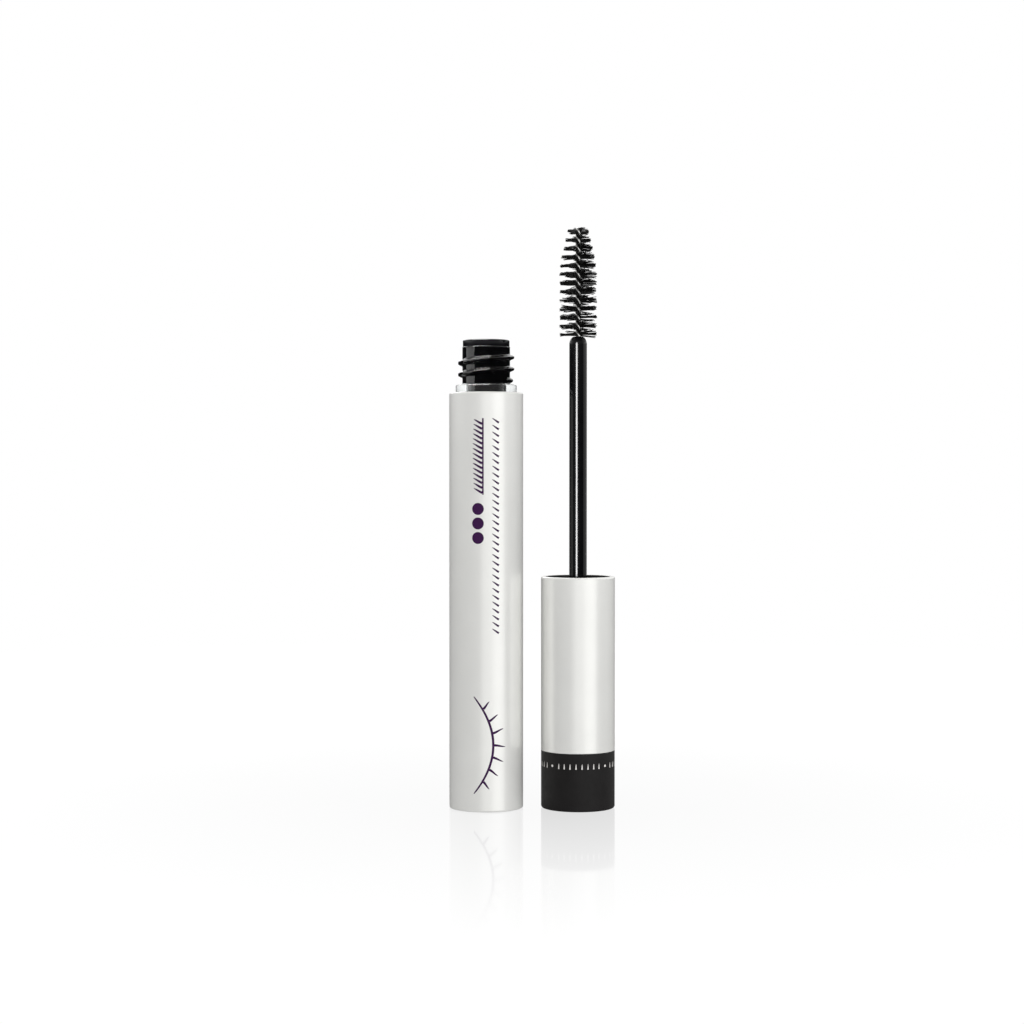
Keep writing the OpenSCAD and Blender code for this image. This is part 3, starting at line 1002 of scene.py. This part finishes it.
class MASCARA_OT_seal(bpy.types.Operator):
    """Build the loose seal ring that presses on the neck's rim"""

    bl_idname = "mascara.seal"
    bl_label = "Seal ring"

    def execute(self, context):
        outer = radius_of(SEAL_LOW, SEAL_HIGH)
        inner = context.scene.mascara.sizes.rod / 2 + 0.15 * MM
        soft = 0.1 * MM
        outline = (
            arc((outer - soft, SEAL_LOW.z + soft), soft, -90, 0, 4)
            + arc((outer - soft, SEAL_HIGH.z - soft), soft, 0, 90, 4)
            + arc((inner + soft, SEAL_HIGH.z - soft), soft, 90, 180, 4)
            + arc((inner + soft, SEAL_LOW.z + soft), soft, 180, 270, 4)
        )
        piece = turned("seal_washer", outline, WAND_AXIS, rubber())
        place(piece, "seal", "seal_ring")
        return {"FINISHED"}


class MASCARA_OT_rod(bpy.types.Operator):
    """Build the gloss black rod with its rounded nose"""

    bl_idname = "mascara.rod"
    bl_label = "Rod"

    def execute(self, context):
        sizes = context.scene.mascara.sizes
        r, top = sizes.rod / 2, ROD_HIGH.z
        nose_r, hole = 0.85 * MM, sizes.strand + 0.06 * MM
        bead, bead_r = ROD_LOW.z + 2 * MM, r + 0.2 * MM
        steps = 12
        nose = [(nose_r + (r - nose_r) * math.cos(math.pi / 2 * i / steps),
                 top - sizes.nose * (1 - math.sin(math.pi / 2 * i / steps))) for i in range(steps + 1)]
        outline = (
            [(0, ROD_LOW.z), (r - 0.3 * MM, ROD_LOW.z), (r, ROD_LOW.z + 0.3 * MM), (r, bead),
             (bead_r, bead + 0.2 * MM), (bead_r, bead + 0.8 * MM), (r, bead + 1 * MM)]
            + nose
            + [(hole, top - 0.02 * MM), (hole, top - 8 * MM), (0, top - 8 * MM)]
        )
        piece = turned("wand_rod", outline, WAND_AXIS, gloss_black(), segments=96)
        place(piece, "wand", "rod")
        return {"FINISHED"}


def row_angle(z, first, row):
    """The angle of the bristles at a height: the wire is twisted left-handed."""
    return -math.pi * (z - first) / row


class MASCARA_OT_wire(bpy.types.Operator):
    """Build the folded wire, twisted round itself, that holds the bristles"""

    bl_idname = "mascara.wire"
    bl_label = "Twisted wire"

    def execute(self, context):
        settings = context.scene.mascara
        sizes = settings.sizes
        strand_r = sizes.strand / 2
        offset = strand_r + 0.01 * MM
        low, high = WIRE_LOW.z + 0.2 * MM, WIRE_HIGH.z - offset - strand_r
        first = ROD_HIGH.z + FIRST_ROW
        count = math.ceil((high - low) / (2 * sizes.row) * 20)

        def strand(z, side):
            a = row_angle(z, first, sizes.row) + math.pi / 2 + side
            return Vector((offset * math.cos(a), offset * math.sin(a), z))

        heights = [low + (high - low) * i / count for i in range(count + 1)]
        up = [strand(z, 0) for z in heights]
        out = (up[-1] - Vector((0, 0, high))).normalized()
        bend = [Vector((0, 0, high)) + offset * (math.cos(a) * out + math.sin(a) * Vector((0, 0, 1)))
                for a in (math.pi * i / 8 for i in range(1, 8))]
        down = [strand(z, math.pi) for z in reversed(heights)]
        path = [p + WAND_AXIS for p in up + bend + down]
        values = {"Wire radius": strand_r, "Sides": 12}
        piece = grown("brush_wire", wire_tree(), values, steel_wire(settings.finish),
                      path_mesh("wire_path", path))
        place(piece, "wand", "core_wire")
        return {"FINISHED"}


class MASCARA_OT_bristles(bpy.types.Operator):
    """Build the bristles that the twisted wire holds"""

    bl_idname = "mascara.bristles"
    bl_label = "Bristles"

    def execute(self, context):
        settings = context.scene.mascara
        brush, sizes = settings.brush, settings.sizes
        radius = radius_of(BRUSH_LOW, BRUSH_HIGH)
        values = {
            "Count": brush.count, "Low": BRUSH_LOW.z, "High": BRUSH_HIGH.z, "Radius": radius,
            "Tip radius": TIP_R, "Taper length": TAPER_LENGTH, "First row": ROD_HIGH.z + FIRST_ROW,
            "Row spacing": sizes.row, "Filament radius": brush.filament / 2, "Spread": brush.spread,
            "Axis": WAND_AXIS, "Seed": brush.seed,
        }
        piece = grown("brush_bristles", bristle_tree(), values, nylon())
        place(piece, "wand", "bristles")
        return {"FINISHED"}


# ---------------------------------------------------------------- printed marks


class MASCARA_OT_tube_print(bpy.types.Operator):
    """Print the tube: three dots, a comb of lashes, a row of strokes and a closed eye"""

    bl_idname = "mascara.tube_print"
    bl_label = "Tube print"

    def execute(self, context):
        settings = context.scene.mascara
        marks = [dot(-1.7 * MM, z * MM, 1.28 * MM) for z in (58.75, 61.85, 64.95)]

        spine = -0.62 * MM
        foot, head = 68.0 * MM, 84.3 * MM
        marks.append(ribbon([(spine, foot + (head - foot) * i / 8) for i in range(9)], [0.17 * MM] * 9))
        teeth = 15
        for i in range(teeth):
            z = foot + 0.4 * MM + (head - foot - 1.6 * MM) * i / (teeth - 1)
            reach = (2.05 + 0.3 * math.sin(math.pi * i / (teeth - 1))) * MM
            marks.append(lash((spine - 0.16 * MM, z), math.radians(158), reach, 0.54 * MM, -0.1))

        middle, half, depth = 14.4 * MM, 10.4 * MM, 4.2 * MM
        steps = 32
        along = [2 * i / steps - 1 for i in range(steps + 1)]
        lid = [(-2.6 * MM + depth * (1 - t * t), middle + half * t) for t in along]
        weight = [0.26 * MM * (0.35 + 0.65 * math.sqrt(max(0.0, 1 - t ** 2))) for t in along]
        marks.append(ribbon(lid, weight))
        for i in range(4, steps - 3, 4):
            t = along[i]
            start = (lid[i][0] + 0.24 * MM, lid[i][1])
            reach = (2.5 - 0.9 * t * t) * MM
            bow = 0.14 if t > 0 else -0.14
            marks.append(lash(start, math.radians(58 * t), reach, 0.54 * MM, bow))

        ink = printed_ink("Purple ink", settings.finish.ink)
        values = {"Count": 1, "Step": (0, 0, 0), "Wall radius": BODY_R, "Film": INK_FILM, "Axis": TUBE_AXIS}
        piece = grown("tube_print", print_tree(), values, ink, flat_marks("tube_marks", marks))
        place(piece, "tube")

        stroke = [lash((2.85 * MM, 38.4 * MM), math.radians(152), 1.75 * MM, 0.46 * MM, -0.08)]
        values.update({"Count": 32, "Step": (0, 1.45 * MM, 0)})
        row = grown("tube_print_row", print_tree(), values, ink, flat_marks("tube_strokes", stroke))
        place(row, "tube")
        return {"FINISHED"}


class MASCARA_OT_band_print(bpy.types.Operator):
    """Print the ring of small strokes and dots round the end band"""

    bl_idname = "mascara.band_print"
    bl_label = "Band print"

    def execute(self, context):
        settings = context.scene.mascara
        repeats = 4
        motif = 2 * math.pi * BODY_R / repeats
        low = BAND_TOP - 3.3 * MM
        strokes = 8
        marks = [lash(((i - (strokes - 1) / 2) * 1.3 * MM, low), math.radians(82), 1.15 * MM, 0.3 * MM, 0.1)
                 for i in range(strokes)]
        marks.append(dot(motif / 2, low + 0.55 * MM, 0.26 * MM, 4))
        values = {"Count": repeats, "Step": (motif, 0, 0), "Wall radius": BODY_R, "Film": INK_FILM,
                  "Axis": WAND_AXIS}
        piece = grown("band_print", print_tree(), values, printed_ink("White ink", settings.finish.band_ink),
                      flat_marks("band_marks", marks))
        place(piece, "wand")
        return {"FINISHED"}


# ---------------------------------------------------------------- stage


def floor_disc(centre, radius):
    """A flat disc."""
    mesh = bpy.data.meshes.new("floor")
    rim = [centre + radius * Vector((math.cos(a), math.sin(a), 0))
           for a in (2 * math.pi * i / 64 for i in range(64))]
    mesh.from_pydata([tuple(p) for p in rim], [], [range(64)])
    return mesh


def area_light(name, at, aim, size, power):
    """A soft rectangular light of a width and height, that faces a point."""
    data = bpy.data.lights.new(name, "AREA")
    data.shape = "RECTANGLE"
    data.size, data.size_y = size
    data.energy = power
    lamp = bpy.data.objects.new(name, data)
    lamp.location = at
    lamp.rotation_euler = (Vector(aim) - Vector(at)).to_track_quat("-Z", "Y").to_euler()
    bpy.context.scene.collection.objects.link(lamp)
    return lamp


def around(azimuth, distance, height):
    """A place round the object: azimuth 0 is the camera's side, and it grows towards the wand."""
    a = math.radians(azimuth)
    middle = WAND_AXIS.x / 2
    return (middle + distance * math.sin(a), -distance * math.cos(a), height)


def white_world(ambient, shade_level):
    """White where it is seen. Gloss mirrors it white behind the object, dimmer in front, dark low down."""
    world = bpy.data.worlds.new("Studio")
    bpy.context.scene.world = world
    world.use_nodes = True
    nodes, links = world.node_tree.nodes, world.node_tree.links

    def mix(factor, low, high):
        node = nodes.new("ShaderNodeMixShader")
        for target, source in zip(node.inputs, (factor, low, high)):
            links.new(source, target)
        return node.outputs[0]

    def light(strength):
        node = nodes.new("ShaderNodeBackground")
        node.inputs["Color"].default_value = (1, 1, 1, 1)
        if isinstance(strength, bpy.types.NodeSocket):
            links.new(strength, node.inputs["Strength"])
        else:
            node.inputs["Strength"].default_value = strength
        return node.outputs[0]

    def ramp(value, between, dim, bright):
        node = nodes.new("ShaderNodeMapRange")
        links.new(value, node.inputs["Value"])
        for key, number in zip(("From Min", "From Max", "To Min", "To Max"), (*between, dim, bright)):
            node.inputs[key].default_value = number
        return node.outputs[0]

    path = nodes.new("ShaderNodeLightPath")
    way = nodes.new("ShaderNodeSeparateXYZ")
    links.new(nodes.new("ShaderNodeTexCoord").outputs["Generated"], way.inputs[0])
    backdrop = light(ramp(way.outputs["Y"], FROM_FRONT, FRONT_LEVEL, 1.0))
    above = ramp(way.outputs["Z"], ABOVE_HORIZON, 0.0, 1.0)
    overhead = ramp(way.outputs["Z"], OVERHEAD, 0.0, 1.0)
    low_front = light(ramp(way.outputs["Y"], FROM_FRONT, LOW_FRONT_LEVEL, 1.0))
    mirrored = mix(above, light(shade_level), mix(overhead, low_front, backdrop))
    unseen = mix(path.outputs["Is Glossy Ray"], light(ambient), mirrored)
    through = mix(path.outputs["Is Transmission Ray"], unseen, backdrop)
    shown = mix(path.outputs["Is Camera Ray"], through, light(1.0))
    links.new(shown, nodes["World Output"].inputs["Surface"])


def lit_apart(lamp, names, state):
    """Makes a lamp light only the named pieces (INCLUDE) or all but them (EXCLUDE)."""
    receivers = bpy.data.collections.new(lamp.name + "_receivers")
    for name in names:
        if name in bpy.data.objects:
            receivers.objects.link(bpy.data.objects[name])
    for item in receivers.collection_objects:
        item.light_linking.link_state = state
    lamp.light_linking.receiver_collection = receivers


class MASCARA_OT_stage(bpy.types.Operator):
    """Build the floor, the lights and the camera"""

    bl_idname = "mascara.stage"
    bl_label = "Stage"

    def execute(self, context):
        stage = context.scene.mascara.stage
        context.scene.view_settings.view_transform = "Standard"
        middle = WAND_AXIS.x / 2

        floor = object_from("floor", floor_disc(Vector((middle, 0, -FLOOR_DROP)), FLOOR_R),
                            floor_finish(stage.mirror, middle))
        floor.visible_glossy = False
        floor.visible_diffuse = False
        floor.visible_shadow = False

        aim = (middle, 0, 0.06)
        off_gloss = ("EXCLUDE", ("wand_rod", "bottle_shell", "wiper_insert", floor.name))
        on_rod = ("INCLUDE", ("wand_rod",))
        on_neck = ("INCLUDE", ("bottle_shell", "wiper_insert"))
        lamps = (
            ("key", around(39, 0.6, 0.06), aim, (0.42, 0.7), off_gloss),
            ("fill", around(2, 0.8, 0.06), aim, (0.46, 0.7), off_gloss),
            ("top", (middle, 0.05, 0.85), aim, (0.8, 0.8), off_gloss),
            ("strip", around(-18.5, 0.5, 0.075), (middle, 0, 0.075), (0.16, 0.3), on_rod),
            ("rim", around(105, 0.55, 0.08), (middle, 0, 0.08), (0.7, 0.3), on_rod),
            ("side", around(-84, 0.5, 0.05), NECK_AIM, (0.5, 0.16), on_neck),
            ("crown", around(-40, 0.30, 0.50), NECK_AIM, (0.7, 0.4), on_neck),
            ("back", around(205, 0.6, 0.45), aim, (0.35, 0.35), ("EXCLUDE", (floor.name,))),
        )
        for name, at, towards, size, (state, names) in lamps:
            lit_apart(area_light(name, at, towards, size, getattr(stage, name)), names, state)
        white_world(stage.ambient, stage.shade)

        data = bpy.data.cameras.new("camera")
        data.lens = stage.lens
        data.clip_start, data.clip_end = 0.01, 20
        camera = bpy.data.objects.new("camera", data)
        camera.location = (stage.aside, -stage.distance, stage.height)
        camera.rotation_euler = (math.pi / 2 - stage.tilt, 0, 0)
        context.scene.collection.objects.link(camera)
        context.scene.camera = camera
        return {"FINISHED"}


# ---------------------------------------------------------------- the add-on


class MASCARA_PT_panel(bpy.types.Panel):
    """Lists the pieces and their settings"""

    bl_label = "Open Mascara"
    bl_idname = "MASCARA_PT_panel"
    bl_space_type = "VIEW_3D"
    bl_region_type = "UI"
    bl_category = "Mascara"

    def draw(self, context):
        for operator in OPERATORS:
            self.layout.operator(operator.bl_idname)
        settings = context.scene.mascara
        for group in (settings.sizes, settings.brush, settings.finish, settings.stage):
            box = self.layout.box()
            for name in group.__annotations__:
                box.prop(group, name)


OPERATORS = (
    MASCARA_OT_sleeves, MASCARA_OT_base_plug, MASCARA_OT_bottle, MASCARA_OT_wiper,
    MASCARA_OT_mascara, MASCARA_OT_end_band, MASCARA_OT_liner, MASCARA_OT_seal, MASCARA_OT_rod,
    MASCARA_OT_wire, MASCARA_OT_bristles, MASCARA_OT_tube_print, MASCARA_OT_band_print, MASCARA_OT_stage,
)
CLASSES = (
    MascaraSizes, MascaraBrush, MascaraFinish, MascaraStage, MascaraSettings, *OPERATORS, MASCARA_PT_panel,
)


def register():
    for cls in CLASSES:
        bpy.utils.register_class(cls)
    bpy.types.Scene.mascara = PointerProperty(type=MascaraSettings)


def unregister():
    del bpy.types.Scene.mascara
    for cls in reversed(CLASSES):
        bpy.utils.unregister_class(cls)


def corners(box):
    """A box as plain lists of numbers."""
    return [list(corner) for corner in box]


def main():
    register()
    for operator in OPERATORS:
        group, name = operator.bl_idname.split(".")
        getattr(getattr(bpy.ops, group), name)()


if __name__ == "__main__":
    main()
